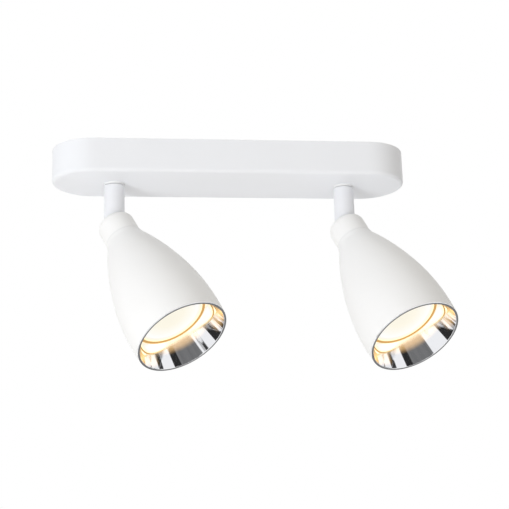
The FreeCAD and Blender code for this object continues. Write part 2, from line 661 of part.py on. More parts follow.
def make_tongue(doc, s, word):
    """Tongue with the eye of the hinge, on a round foot with a stud that holds collar and shell."""
    body = new_body(doc, "hinge_tongue_" + word)
    foot_top = -s.stem_radius - s.foot_gap
    foot_bottom = foot_top - s.tongue_foot
    revolve(body, [
        (0.0, foot_top), (0.0, foot_bottom - s.stud_length), (s.stud_radius, foot_bottom - s.stud_length),
        (s.stud_radius, foot_bottom), (s.tongue_foot_radius, foot_bottom), (s.tongue_foot_radius, foot_top)])
    blade = new_sketch(body, "XZ")
    root = foot_top - s.tongue_foot / 2
    add_profile(blade, [(-s.tongue_radius, root), (s.tongue_radius, root), (s.tongue_radius, 0.0),
                        (-s.tongue_radius, 0.0)])
    pad(body, blade, s.tongue_thickness, symmetric=True)
    eye = new_sketch(body, "XZ")
    add_circle(eye, 0.0, 0.0, s.tongue_radius)
    pad(body, eye, s.tongue_thickness, symmetric=True)
    hole = new_sketch(body, "XZ")
    add_circle(hole, 0.0, 0.0, s.hinge_pin_radius + s.running_clearance)
    cut(body, hole)
    wires = new_sketch(body, "XY", foot_top)
    for end in (-1, 1):
        add_circle(wires, 0.0, end * s.wire_hole_circle, s.wire_hole_radius)
    cut(body, wires, s.tongue_foot * 3)
    return body


def make_collar(doc, s, word):
    """Barrel-shaped collar: a rounded shoulder round the open mouth, a straight band, and a taper
    down to the seam. The tongue's foot sits on its floor."""
    body = new_body(doc, "collar_" + word)
    floor = -s.stem_radius - s.foot_gap - s.tongue_foot
    mouth_end = s.collar_rise - s.collar_mouth_depth
    shoulder_end = s.collar_rise - s.collar_shoulder
    revolve(body, [
        (s.stud_radius + s.running_clearance, floor), (s.stud_radius + s.running_clearance, -s.collar_end),
        (s.collar_foot_radius, -s.collar_end), (s.collar_radius, shoulder_end - s.collar_straight),
        (s.collar_radius, shoulder_end, s.collar_shoulder_radius), (s.collar_mouth + s.collar_lip, s.collar_rise),
        (s.collar_mouth, s.collar_rise), (s.collar_mouth, mouth_end), (s.collar_bore, mouth_end), (s.collar_bore, floor)])
    wires = new_sketch(body, "XY", floor)
    for end in (-1, 1):
        add_circle(wires, 0.0, end * s.wire_hole_circle, s.wire_hole_radius)
    cut(body, wires, (s.collar_end + floor) * 2 + s.tongue_foot)
    return body


def make_shell(doc, s, word):
    """Bullet-shaped shell: a back plate, a short neck, and two arcs that meet at the waist. The ring's
    rim covers its edge."""
    body = new_body(doc, "head_shell_" + word)
    top = -s.collar_end - s.seam_gap
    mouth = s.ring_flange + s.ring_gap - s.shell_mouth
    wall = s.shell_wall
    hole = s.stud_radius + s.running_clearance
    revolve(body, [
        (hole, top), (hole, top - s.shell_plate), (s.shell_neck_radius - wall, top - s.shell_plate),
        (s.shell_neck_end_radius - wall, -s.shell_neck_end, -(s.shell_cone_arc - wall)),
        (s.shell_waist_radius - wall, -s.shell_waist, -(s.shell_belly_arc - wall)),
        (s.shell_mouth_radius - wall, mouth), (s.shell_mouth_radius, mouth, s.shell_belly_arc),
        (s.shell_waist_radius, -s.shell_waist, s.shell_cone_arc), (s.shell_neck_end_radius, -s.shell_neck_end),
        (s.shell_neck_radius, top)])
    holes = new_sketch(body, "XY", top)
    for end in (-1, 1):
        add_circle(holes, 0.0, end * s.wire_hole_circle, s.wire_hole_radius)
        add_circle(holes, end * s.spacer_circle, 0.0, s.holder_screw_radius + s.running_clearance)
    cut(body, holes, s.shell_plate * 3)
    return body


def make_holder(doc, s, word, plate):
    """Ceramic holder on two spacers, with sockets for the lamp pins and recessed screws."""
    body = new_body(doc, "lamp_holder_" + word)
    top = plate - s.spacer_length
    face = top - s.holder_length
    revolve(body, [
        (0.0, face), (s.holder_radius, face), (s.holder_radius, top - s.holder_edge),
        (s.holder_radius - s.holder_edge, top), (0.0, top)])
    sockets = new_sketch(body, "XY", face)
    screws = new_sketch(body, "XY", face)
    recesses = new_sketch(body, "XY", face)
    for end in (-1, 1):
        add_circle(sockets, 0.0, end * s.lamp_pin_spacing / 2, s.pin_socket_radius)
        add_circle(screws, end * s.spacer_circle, 0.0, s.holder_screw_radius + s.screw_clearance)
        add_circle(recesses, end * s.spacer_circle, 0.0, s.holder_screw_head_radius + s.screw_clearance)
    cut(body, sockets, s.pin_socket_depth * 2)
    cut(body, screws, s.holder_length * 3)
    cut(body, recesses, s.holder_screw_recess * 2)
    return body


def make_lamp(doc, s, word, face):
    """Reflector lamp with a two-pin base: base and pins, glass bowl, and front lens."""
    base = new_body(doc, "lamp_base_" + word)
    base_top = face - s.lamp_gap
    base_end = base_top - s.lamp_base_length
    revolve(base, [(0.0, base_end), (s.lamp_base_radius, base_end), (s.lamp_base_radius, base_top), (0.0, base_top)])
    for radius, length in ((s.lamp_pin_radius, s.lamp_pin_length), (s.lamp_pin_head_radius, None)):
        start = base_top if length is not None else base_top + s.lamp_pin_length - s.lamp_pin_head
        pins = new_sketch(base, "XY", start)
        for end in (-1, 1):
            add_circle(pins, 0.0, end * s.lamp_pin_spacing / 2, radius)
        pad(base, pins, length if length is not None else s.lamp_pin_head)

    front = base_top - s.lamp_length
    rim = front + s.lamp_rim
    back = base_end - s.lens_gap
    glass = s.lamp_glass
    lens_back = front + s.lens_thickness
    bowl = turned(doc, "lamp_bowl_" + word, [
        (0.0, back - glass), (s.lamp_base_radius - glass, back - glass, -(s.lamp_bowl_arc - glass)),
        (s.lamp_radius - glass, rim), (s.lamp_radius - glass, front), (s.lamp_radius, front),
        (s.lamp_radius, rim, s.lamp_bowl_arc), (s.lamp_base_radius, back), (0.0, back)])
    lens_radius = s.lamp_radius - glass - s.lens_gap
    lens = turned(doc, "lamp_lens_" + word, [
        (0.0, lens_back), (0.0, front), (lens_radius, front), (lens_radius, lens_back)])
    return base, bowl, lens


def make_reflector(doc, s, word):
    """Bright ring in the opening: a rim over the edge of the shell, a lip inside it, the cone, and a
    short tube round the lamp."""
    front = -s.shell_mouth
    seat = front + s.ring_flange
    outer = s.shell_mouth_radius - s.ring_gap
    lip = s.shell_mouth_radius - s.shell_wall - s.ring_gap
    inner_edge = front + s.ring_depth
    tube_end = inner_edge + s.ring_return
    back = s.ring_inner_radius + s.ring_wall
    return turned(doc, "reflector_ring_" + word, [
        (outer - s.ring_face, front), (outer, front), (outer, seat), (lip, seat), (lip, seat + s.ring_lip),
        (back, inner_edge), (back, tube_end), (s.ring_inner_radius, tube_end), (s.ring_inner_radius, inner_edge)])


def make_head(doc, s, side, word, rest_swivel, rest_tilt):
    top = -s.collar_end - s.seam_gap
    plate = top - s.shell_plate
    face = plate - s.spacer_length - s.holder_length
    pieces = [make_tongue(doc, s, word), make_collar(doc, s, word), make_shell(doc, s, word)]

    nut = new_body(doc, "head_nut_" + word)
    hexagon = new_sketch(nut, "XY", plate)
    add_hexagon(hexagon, s.head_nut_flats)
    pad(nut, hexagon, s.head_nut, reverse=True)
    thread = new_sketch(nut, "XY", plate)
    add_circle(thread, 0.0, 0.0, s.stud_radius + s.running_clearance)
    cut(nut, thread, s.head_nut * 4)
    pieces.append(nut)

    pieces.append(make_holder(doc, s, word, plate))
    seat = face + s.holder_screw_recess
    for end, letter in ((-1, "a"), (1, "b")):
        spacer = new_body(doc, "holder_spacer_%s_%s" % (letter, word))
        tube = new_sketch(spacer, "XY", plate)
        add_circle(tube, end * s.spacer_circle, 0.0, s.spacer_radius)
        pad(spacer, tube, s.spacer_length, reverse=True)
        bore = new_sketch(spacer, "XY", plate)
        add_circle(bore, end * s.spacer_circle, 0.0, s.holder_screw_radius + s.screw_clearance)
        cut(spacer, bore, s.spacer_length * 3)
        pieces.append(spacer)
        screw = new_body(doc, "holder_screw_%s_%s" % (letter, word))
        head = new_sketch(screw, "XY", seat)
        add_circle(head, end * s.spacer_circle, 0.0, s.holder_screw_head_radius)
        pad(screw, head, s.holder_screw_head, reverse=True)
        shank = new_sketch(screw, "XY", seat)
        add_circle(shank, end * s.spacer_circle, 0.0, s.holder_screw_radius)
        pad(screw, shank, top - s.seam_gap - seat)
        cross_recess(s, screw, seat - s.holder_screw_head, s.holder_screw_head_radius, end * s.spacer_circle)
        pieces.append(screw)
    pieces.extend(make_lamp(doc, s, word, face))
    pieces.append(make_reflector(doc, s, word))

    pose = FreeCAD.Rotation(FreeCAD.Vector(0, 0, 1), rest_swivel.value).multiply(
        FreeCAD.Rotation(FreeCAD.Vector(0, 1, 0), -rest_tilt.value))
    for piece in pieces:
        place(piece, side * s.stem_spacing / 2, 0.0, -s.pivot_drop, pose)


def check(doc):
    """Stops on any failed object, any cut or pad that did nothing, and any bad solid."""
    for item in doc.Objects:
        if "Invalid" in item.State or "Error" in item.State:
            raise RuntimeError("%s is %s" % (item.Name, item.State))
        if item.TypeId in ("PartDesign::Pocket", "PartDesign::Pad") and item.BaseFeature is not None:
            change = item.Shape.Volume - item.BaseFeature.Shape.Volume
            if (change >= -1e-6) if item.TypeId == "PartDesign::Pocket" else (change <= 1e-6):
                raise RuntimeError("%s changes nothing" % item.Name)
    bodies = [item for item in doc.Objects if item.TypeId == "PartDesign::Body"]
    for body in bodies:
        if body.Shape.isNull() or not body.Shape.isValid() or len(body.Shape.Solids) != 1:
            raise RuntimeError("%s is not one sound solid" % body.Label)
    return bodies


def main():
    doc = FreeCAD.newDocument("spotlight")
    s = Sizes(doc)
    make_cover(doc, s)
    make_bracket(doc, s)
    make_wiring(doc, s)
    make_cover_screws(doc, s)
    make_arm(doc, s, -1, "left", s.rest_swivel_left)
    make_arm(doc, s, 1, "right", s.rest_swivel_right)
    make_head(doc, s, -1, "left", s.rest_swivel_left, s.rest_tilt_left)
    make_head(doc, s, 1, "right", s.rest_swivel_right, s.rest_tilt_right)
    doc.recompute()
    bodies = check(doc)
    os.makedirs("parts", exist_ok=True)
    for body in bodies:
        body.Shape.exportStep("parts/%s.step" % body.Label)
    print(len(bodies), "pieces")


main()
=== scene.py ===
"""Looks of a two-head pivoting spotlight, made round its solids.

Every solid keeps its shape and gets a painted, plated, moulded or glass finish. Where a finer
piece is wanted, such as the bright rings and the lit lenses, a new piece is turned and stands for
the solid.
"""

import json
import math

import bpy
from bpy.props import FloatProperty, FloatVectorProperty, IntProperty, PointerProperty
from bpy.types import Operator, Panel, PropertyGroup
from mathutils import Matrix, Vector


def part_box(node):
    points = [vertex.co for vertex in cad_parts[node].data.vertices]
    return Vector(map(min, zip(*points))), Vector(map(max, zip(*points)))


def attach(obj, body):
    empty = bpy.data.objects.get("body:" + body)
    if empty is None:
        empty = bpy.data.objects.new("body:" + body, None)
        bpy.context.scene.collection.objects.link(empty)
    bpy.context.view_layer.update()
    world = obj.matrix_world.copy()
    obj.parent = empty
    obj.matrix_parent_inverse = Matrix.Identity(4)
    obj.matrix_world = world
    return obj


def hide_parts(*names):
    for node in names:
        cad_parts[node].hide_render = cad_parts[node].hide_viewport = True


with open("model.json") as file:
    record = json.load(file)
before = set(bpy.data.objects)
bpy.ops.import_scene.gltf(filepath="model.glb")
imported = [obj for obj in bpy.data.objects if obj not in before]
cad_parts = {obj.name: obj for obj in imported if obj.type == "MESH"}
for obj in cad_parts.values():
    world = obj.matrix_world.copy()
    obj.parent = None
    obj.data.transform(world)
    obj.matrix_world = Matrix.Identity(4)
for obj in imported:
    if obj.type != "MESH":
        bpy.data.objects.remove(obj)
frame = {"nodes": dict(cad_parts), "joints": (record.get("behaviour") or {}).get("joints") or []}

bl_info = {
    "name": "Two-head spotlight",
    "version": (1, 0, 0),
    "blender": (4, 5, 0),
    "location": "3D View > Sidebar > Spotlight",
    "description": "Finishes, bright rings, lit lenses and studio of a two-head spotlight",
    "category": "Object",
}

SIDES = ("left", "right")
MM = 0.001
FULL_TILT = 40.0  # degrees from straight down to the end of the tilt
SAME_PLACE = 1e-6  # metres between points that are one
BOX_MARGIN = 0.0004  # metres that a new piece may pass the box of the solid it stands for


def joint(name):
    """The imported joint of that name."""
    for found in frame["joints"]:
        if found["name"] == name:
            return found
    raise RuntimeError("the packed part has no joint " + name)


def head_frame(side):
    """Place and turn of a head at rest: its origin on the tilt pin, its opening towards -Z."""
    pin = joint("tilt_" + side)
    swivel = math.atan2(pin["axis"][0], -pin["axis"][1])
    tilt = math.radians(FULL_TILT - pin["range_deg"][1])
    place = Matrix.Translation(pin["pos_m"])
    return place @ Matrix.Rotation(swivel, 4, "Z") @ Matrix.Rotation(-tilt, 4, "Y")


# Sizes and colours that a user would change


class SpotlightSizes(PropertyGroup):
    ring_rim: FloatProperty(
        name="Ring rim radius",
        description="Outer radius of the rim that covers the edge of the shell",
        default=0.0331, min=0.0325, max=0.0331, unit="LENGTH")
    ring_face: FloatProperty(
        name="Ring rim width", description="Width of the rim round the opening",
        default=0.0015, min=0.001, max=0.0025, unit="LENGTH")
    ring_throat: FloatProperty(
        name="Ring throat radius", description="Inner radius of the bright ring round the lamp",
        default=0.0262, min=0.0252, max=0.03, unit="LENGTH")
    ring_wall: FloatProperty(
        name="Ring wall", description="Sheet thickness of the bright ring",
        default=0.0006, min=0.0003, max=0.001, unit="LENGTH")
    lens_radius: FloatProperty(
        name="Lens radius", description="Radius of the lamp's front lens",
        default=0.0237, min=0.01, max=0.0237, unit="LENGTH")
    lens_rings: IntProperty(
        name="Lens rings", description="Number of fine rings moulded in the lens",
        default=9, min=3, max=16)
    turned_steps: IntProperty(
        name="Steps round", description="Faces round a turned piece",
        default=160, min=48, max=256)
    paint_grain: FloatProperty(
        name="Paint grain", description="Size of the texture of the powder coat",
        default=0.0009, min=0.0003, max=0.004, unit="LENGTH")


class SpotlightColours(PropertyGroup):
    base_paint: FloatVectorProperty(
        name="Base paint", description="Cool white of the wall base",
        subtype="COLOR", size=3, min=0.0, max=1.0, default=(0.86, 0.87, 0.89))
    stem_paint: FloatVectorProperty(
        name="Stem paint", description="Satin white of the stems",
        subtype="COLOR", size=3, min=0.0, max=1.0, default=(0.84, 0.85, 0.88))
    head_paint: FloatVectorProperty(
        name="Head paint", description="Warm white of the heads",
        subtype="COLOR", size=3, min=0.0, max=1.0, default=(0.9, 0.895, 0.88))
    chrome: FloatVectorProperty(
        name="Chrome", description="Tint of the bright rings",
        subtype="COLOR", size=3, min=0.0, max=1.0, default=(0.92, 0.925, 0.94))
    # The lamp glow is painted as a glow in the chrome beside the lamp, and lights the lamp's bowl
    lamp_glow: FloatVectorProperty(
        name="Lamp glow", description="Warm light that the lamp throws on the metal next to it",
        subtype="COLOR", size=3, min=0.0, max=1.0, default=(0.46, 0.285, 0.115))
    lens_light: FloatVectorProperty(
        name="Lens light", description="Light of the lens near its rim",
        subtype="COLOR", size=3, min=0.0, max=1.0, default=(0.96, 0.955, 0.94))


class SpotlightStudio(PropertyGroup):
    camera_lens: FloatProperty(
        name="Lens", description="Focal length of the camera in millimetres",
        default=95.83, min=20.0, max=200.0, unit="CAMERA")
    camera_distance: FloatProperty(
        name="Distance", description="Camera to the middle of the base",
        default=1.008, min=0.3, max=4.0, unit="LENGTH")
    camera_turn: FloatProperty(
        name="Turn", description="How far the camera looks to the right", subtype="ANGLE",
        default=math.radians(7.47), min=-math.pi, max=math.pi)
    camera_rise: FloatProperty(
        name="Rise", description="How far the camera looks up", subtype="ANGLE",
        default=math.radians(15.80), min=-math.pi / 2, max=math.pi / 2)
    camera_roll: FloatProperty(
        name="Roll", description="Lean of the camera", subtype="ANGLE",
        default=math.radians(-1.77), min=-math.pi, max=math.pi)
    camera_right: FloatProperty(
        name="Right", description="Object to the right of the picture's middle",
        default=-0.0189, min=-1.0, max=1.0, unit="LENGTH")
    camera_up: FloatProperty(
        name="Up", description="Object above the picture's middle",
        default=0.0748, min=-1.0, max=1.0, unit="LENGTH")
    soft_light: FloatProperty(
        name="Soft light", description="Light that comes from all round",
        default=0.678, min=0.0, max=2.0)


# Colours of the smaller pieces

SCREW_WHITE = (0.85, 0.86, 0.87)
BRACKET_ZINC = (0.62, 0.63, 0.65)
SWIVEL_ZINC = (0.64, 0.645, 0.66)
NYLON_WHITE = (0.88, 0.88, 0.88)
BLOCK_CREAM = (0.86, 0.86, 0.83)
RUBBER_GREY = (0.3, 0.3, 0.3)
CLAMP_BRASS = (0.78, 0.62, 0.32)
CERAMIC_CREAM = (0.9, 0.89, 0.85)
BOWL_COATING = (0.85, 0.82, 0.75)


def rgba(colour, shade=1.0):
    """Colour for a socket, made darker or paler by a factor."""
    return (colour[0] * shade, colour[1] * shade, colour[2] * shade, 1.0)


def grey(level):
    """Neutral colour for a socket."""
    return (level, level, level, 1.0)


BLACK, WHITE = grey(0.0), grey(1.0)

# Bands in a head where a finish, a painted shade or a painted glow changes: depths from the tilt
# pin, in metres

# Depths of the painted shade in the seam between the collar and the shell
SEAM_SHADE_STARTS, SEAM_SHADE_ENDS = (0.0166, 0.0174), (0.0178, 0.0196)
LEAK_STARTS = (0.0700, 0.0930)
BOWL_FRONT_STARTS = (0.0948, 0.0952)
# Where the painted reflection and glow of the lit lens on the chrome ends
PAINTED_LENS_GLOW_ENDS = (0.0957, 0.0966)
HAZE_ENDS = (0.0962, 0.1045)
# Where the painted glow of the lamp's stray light on the chrome ends
STRAY_LIGHT_ENDS = (0.1006, 0.1062)

BOWL_EDGE = (0.0236, 0.0252)  # radii at which the light round the lens starts and ends
LOW_AT_REST = 126.0  # degrees round the head to the middle of its low side, where the chrome's painted glow lies


# Shader maths


class Wire:
    """A node's output socket that can stand in a sum like a number."""

    def __init__(self, nodes, socket):
        self.nodes, self.socket = nodes, socket

    def work(self, operation, first, second):
        return self.nodes.add("ShaderNodeMath", {"operation": operation}, {0: first, 1: second})

    def __add__(self, other):
        return self.work("ADD", self, other)

    def __radd__(self, other):
        return self.work("ADD", other, self)

    def __sub__(self, other):
        return self.work("SUBTRACT", self, other)

    def __rsub__(self, other):
        return self.work("SUBTRACT", other, self)

    def __mul__(self, other):
        return self.work("MULTIPLY", self, other)

    def __rmul__(self, other):
        return self.work("MULTIPLY", other, self)

    def __truediv__(self, other):
        return self.work("DIVIDE", self, other)

    def __rtruediv__(self, other):
        return self.work("DIVIDE", other, self)


class Nodes:
    """The nodes of one finish. Every node comes from add()."""

    def __init__(self, tree):
        self.tree = tree
        tree.nodes.clear()

    def add(self, kind, settings=None, inputs=None, output=0):
        """A node of that type. Its settings come first, then its sockets' values or links."""
        node = self.tree.nodes.new(kind)
        for name, value in (settings or {}).items():
            if name == "stops":
                ramp = node.color_ramp
                ramp.elements.remove(ramp.elements[-1])
                ramp.elements[0].position, ramp.elements[0].color = value[0]
                for position, colour in value[1:]:
                    ramp.elements.new(position).color = colour
            else:
                setattr(node, name, value)
        for name, value in (inputs or {}).items():
            if isinstance(value, Wire):
                self.tree.links.new(value.socket, node.inputs[name])
            else:
                node.inputs[name].default_value = value
        return Wire(self, node.outputs[output]) if len(node.outputs) else None

    def mixed(self, amount, first, second):
        """Colour between two colours."""
        return self.add(
            "ShaderNodeMix", {"data_type": "RGBA"}, {0: amount, 6: first, 7: second}, 2)

    def ramp(self, amount, stops):
        """Colour along a row of (position, colour) stops."""
        stops = [(position, rgba(colour)) for position, colour in stops]
        return self.add("ShaderNodeValToRGB", {"stops": stops}, {"Fac": amount})

    def between(self, value, low, high):
        """0 below low, 1 above high, and a soft step between."""
        return self.add(
            "ShaderNodeMapRange", {"interpolation_type": "SMOOTHSTEP"},
            {"Value": value, "From Min": low, "From Max": high, "To Min": 0.0, "To Max": 1.0})

    def vector(self, operation, first, second=None, output=0):
        """Vector maths on one vector or two."""
        inputs = {0: first} if second is None else {0: first, 1: second}
        return self.add("ShaderNodeVectorMath", {"operation": operation}, inputs, output)

    def place(self):
        """Where a point is on the part."""
        return self.add("ShaderNodeTexCoord", output="Object")

    def stretched(self, place, scale):
        """A place for patterns that are finer along some axes."""
        return self.add("ShaderNodeMapping", None, {"Vector": place, "Scale": scale})

    def noise(self, place, size, detail=2.0, rough=0.5):
        """Cloudy pattern from 0 to 1, of that size in metres."""
        return self.add(
            "ShaderNodeTexNoise", {"noise_dimensions": "3D"},
            {"Vector": place, "Scale": 1.0 / size, "Detail": detail, "Roughness": rough})

    def bump(self, height, depth):
        """Relief of that depth in metres."""
        return self.add("ShaderNodeBump", None, {"Height": height, "Distance": depth}, "Normal")

    def surface(self, **inputs):
        """The finish's surface, with its sockets named in words joined by underscores."""
        named = {}
        for name, value in inputs.items():
            named[name.replace("_", " ").title().replace("Ior", "IOR")] = value
        shader = self.add("ShaderNodeBsdfPrincipled", None, named)
        self.add("ShaderNodeOutputMaterial", None, {"Surface": shader})


class HeadPlace:
    """Where a point is in a head at rest, counted from its tilt pin."""

    def __init__(self, nodes, side):
        turned = head_frame(side)
        self.nodes, self.turn = nodes, turned.to_3x3()
        self.way = nodes.vector("SUBTRACT", nodes.place(), tuple(turned.translation))
        self.line = tuple(self.turn @ Vector((0.0, 0.0, -1.0)))

    def depth(self):
        """Distance towards the opening."""
        return self.nodes.vector("DOT_PRODUCT", self.way, self.line, "Value")

    def radius(self):
        """Distance from the head's middle line."""
        across = self.nodes.vector("CROSS_PRODUCT", self.way, self.line)
        return self.nodes.vector("LENGTH", across, output="Value")

    def facing(self, degrees):
        """Cosine of the angle round the middle line, counted from that direction."""
        turn = math.radians(degrees)
        arm = tuple(self.turn @ Vector((math.cos(turn), math.sin(turn), 0.0)))
        return self.nodes.vector("DOT_PRODUCT", self.way, arm, "Value") / self.radius()


# Finishes


def new_finish(name):
    """An empty material and its nodes."""
    material = bpy.data.materials.new(name)
    material.use_nodes = True
    return material, Nodes(material.node_tree)


def powder_skin(nodes, colour, grain):
    """Baked powder paint: a slow drift of tone, the toned colour, and a fine orange-peel skin as
    a change of roughness and as a relief."""
    place = nodes.place()
    peel = nodes.noise(place, grain, 2.0, 0.45)
    drift = nodes.noise(place, 0.045, 3.0)
    toned = nodes.mixed(drift, rgba(colour, 0.985), rgba(colour, 1.012))
    uneven = (peel - 0.5) * 0.12 + (drift - 0.5) * 0.08
    return drift, toned, uneven, nodes.bump(peel * 0.8 + drift * 0.2, 0.00002)


def base_coat(name, colour, grain):
    """The powder paint of the base, with rare dull specks."""
    material, nodes = new_finish(name)
    _, toned, uneven, relief = powder_skin(nodes, colour, grain)
    speck = nodes.between(nodes.noise(nodes.place(), grain * 0.6, 1.0), 0.70, 0.78)
    nodes.surface(
        base_color=nodes.mixed(speck * 0.06, toned, rgba(colour, 0.8)),
        roughness=0.5 + uneven,
        normal=relief)
    return material


def head_coat(name, side, colour, grain):
    """The powder paint of a head, a little rougher in the seam between the collar and the shell and
    darkened there by painted shade.
    """
    material, nodes = new_finish(name)
    drift, toned, uneven, relief = powder_skin(nodes, colour, grain)
    depth = HeadPlace(nodes, side).depth()
    # Painted shade: the paint's colour is darker in the seam between the collar and the shell,
    # where shade falls
    seam_shade = nodes.between(depth, *SEAM_SHADE_STARTS) * (1.0 - nodes.between(depth, *SEAM_SHADE_ENDS))
    nodes.surface(
        base_color=nodes.mixed(seam_shade * (0.75 + drift * 0.25), toned, rgba(colour, 0.93)),
        roughness=0.55 + uneven + seam_shade * 0.1,
        normal=relief)
    return material


def satin_paint(name, colour, roughness):
    """Smoother paint with faint turning marks that show through round the stem."""
    material, nodes = new_finish(name)
    place = nodes.place()
    marks = nodes.noise(nodes.stretched(place, (1.0, 1.0, 9.0)), 0.0022, 2.0, 0.55)
    peel = nodes.noise(place, 0.0012)
    nodes.surface(
        base_color=nodes.mixed(marks, rgba(colour, 0.985), rgba(colour, 1.01)),
        roughness=roughness + (marks - 0.5) * 0.1,
        normal=nodes.bump(peel * 0.6 + marks * 0.4, 0.000012))
    return material


def zinc_plate(name, colour):
    """Bright zinc on pressed steel: drawn streaks, small crystals and duller patches."""
    material, nodes = new_finish(name)
    place = nodes.place()
    crystal = nodes.add(
        "ShaderNodeTexVoronoi", {"feature": "F1"}, {"Vector": place, "Scale": 420.0}, "Color")
    sparkle = nodes.add("ShaderNodeRGBToBW", None, {"Color": crystal})
    streak = nodes.noise(nodes.stretched(place, (1.0, 14.0, 14.0)), 0.006, 3.0, 0.6)
    patch = nodes.noise(place, 0.012, 3.0, 0.6)
    nodes.surface(
        base_color=nodes.mixed(
            sparkle * 0.5 + patch * 0.5, rgba(colour, 0.86), rgba(colour, 1.12)),
        metallic=1.0,
        roughness=0.3 + streak * 0.14 + (patch - 0.5) * 0.16,
        normal=nodes.bump(streak, 0.00003))
    return material


def bare_brass(name, colour):
    """Machined brass with rubbed, slightly browned patches."""
    material, nodes = new_finish(name)
    place = nodes.place()
    browned = (0.52, 0.36, 0.16, 1.0)
    patch = nodes.noise(place, 0.004, 4.0, 0.6)
    cut = nodes.add(
        "ShaderNodeTexWave", {"wave_type": "BANDS", "bands_direction": "Z"},
        {"Vector": place, "Scale": 260.0, "Distortion": 1.5, "Detail": 1.0}, 1)
    nodes.surface(
        base_color=nodes.mixed(nodes.between(patch, 0.35, 0.7), rgba(colour), browned),
        metallic=1.0,
        roughness=0.22 + patch * 0.2,
        normal=nodes.bump(cut, 0.00001))
    return material


def moulded_plastic(name, colour, roughness):
    """Injection-moulded plastic with a spark-eroded skin."""
    material, nodes = new_finish(name)
    place = nodes.place()
    skin = nodes.noise(place, 0.0005, 2.0, 0.6)
    flow = nodes.noise(place, 0.009)
    nodes.surface(
        base_color=nodes.mixed(flow, rgba(colour, 0.96), rgba(colour, 1.02)),
        roughness=roughness + (skin - 0.5) * 0.15,
        normal=nodes.bump(skin, 0.000015))
    return material


def soft_rubber(name, colour):
    """Dull rubber with a dusty bloom."""
    material, nodes = new_finish(name)
    place = nodes.place()
    bloom = nodes.between(nodes.noise(place, 0.006, 4.0, 0.65), 0.45, 0.7)
    skin = nodes.noise(place, 0.0006)
    nodes.surface(
        base_color=nodes.mixed(bloom * 0.5, rgba(colour), rgba(colour, 1.25)),
        roughness=0.72 + bloom * 0.15,
        normal=nodes.bump(skin, 0.00003))
    return material


def fired_ceramic(name, colour):
    """Unglazed steatite with a fine pressed grain and a few darker specks."""
    material, nodes = new_finish(name)
    place = nodes.place()
    dark_speck = (0.5, 0.46, 0.4, 1.0)
    grit = nodes.noise(place, 0.0004, 3.0, 0.7)
    speck = nodes.between(nodes.noise(place, 0.0009, 1.0), 0.68, 0.74)
    pressed = nodes.mixed(grit, rgba(colour, 0.95), rgba(colour, 1.03))
    nodes.surface(
        base_color=nodes.mixed(speck * 0.35, pressed, dark_speck),
        roughness=0.62 + (grit - 0.5) * 0.2,
        normal=nodes.bump(grit, 0.00002))
    return material


def bright_chrome(name, side, colour, glow):
    """Mirror chrome on a spun ring: faint spinning marks, beside the lens a painted creamy
    reflection and glow of the lit lens, and, on the side that is low at rest, a band of painted
    glow that stands for the lamp's stray light."""
    material, nodes = new_finish(name)
    head = HeadPlace(nodes, side)
    depth = head.depth()
    # Painted reflection and glow of the lit lens: a creamy colour and a faint light in the chrome
    # beside the lens
    painted_lens_reflection, painted_lens_glow = (0.76, 0.66, 0.46, 1.0), (0.11, 0.095, 0.055, 1.0)
    smear = nodes.noise(nodes.place(), 0.009, 3.0, 0.6)
    marks = nodes.add(
        "ShaderNodeTexNoise", {"noise_dimensions": "1D"},
        {"W": depth, "Scale": 2600.0, "Detail": 2.0})
    beside_lens = 1.0 - nodes.between(depth, *PAINTED_LENS_GLOW_ENDS)
    hazy = 1.0 - nodes.between(depth, *HAZE_ENDS)
    # Painted glow: the lamp's stray light as emission in a band of the chrome on its low side
    low_side = nodes.between(head.facing(LOW_AT_REST), 0.5, 0.9)
    wavy_depth = depth + (smear - 0.5) * 0.0012
    stray = low_side * (1.0 - nodes.between(wavy_depth, *STRAY_LIGHT_ENDS))
    spun = nodes.mixed(marks, rgba(colour, 0.985), rgba(colour, 1.015))
    painted_stray_glow = nodes.mixed(stray * (0.9 + smear * 0.2), BLACK, rgba(glow, 1.25))
    nodes.surface(
        base_color=nodes.mixed(beside_lens, spun, painted_lens_reflection),
        metallic=1.0,
        roughness=0.02 + smear * 0.03 + hazy * 0.12,
        emission_color=nodes.mixed(beside_lens, painted_stray_glow, painted_lens_glow),
        emission_strength=1.0,
        normal=nodes.bump(marks, 0.000001))
    return material


def coated_bowl(name, side, colour, glow):
    """Mirror-coated glass bowl of the lamp. Light leaks through it: amber behind, paler round
    the lens."""
    material, nodes = new_finish(name)
    head = HeadPlace(nodes, side)
    depth = head.depth()
    amber = (0.6, 0.42, 0.2, 1.0)
    ripple = nodes.noise(nodes.place(), 0.003)
    leak = nodes.between(depth, *LEAK_STARTS)
    front = nodes.between(depth, *BOWL_FRONT_STARTS)
    round_lens = nodes.ramp(nodes.between(head.radius(), *BOWL_EDGE), (
        (0.0, (0.92, 0.84, 0.62)), (0.5, (0.90, 0.76, 0.46)),
        (0.8, (0.66, 0.46, 0.20)), (1.0, (0.48, 0.30, 0.11))))
    coated = nodes.mixed(ripple, rgba(colour, 0.94), rgba(colour, 1.04))
    leaked = nodes.mixed(leak, rgba(glow, 0.05), rgba(glow, 1.1))
    nodes.surface(
        base_color=nodes.mixed(leak * 0.7, coated, amber),
        metallic=0.85 - front * 0.5,
        roughness=0.12 + ripple * 0.08,
        emission_color=nodes.mixed(front, leaked, round_lens),
        emission_strength=0.9,
        normal=nodes.bump(ripple, 0.00004))
    return material


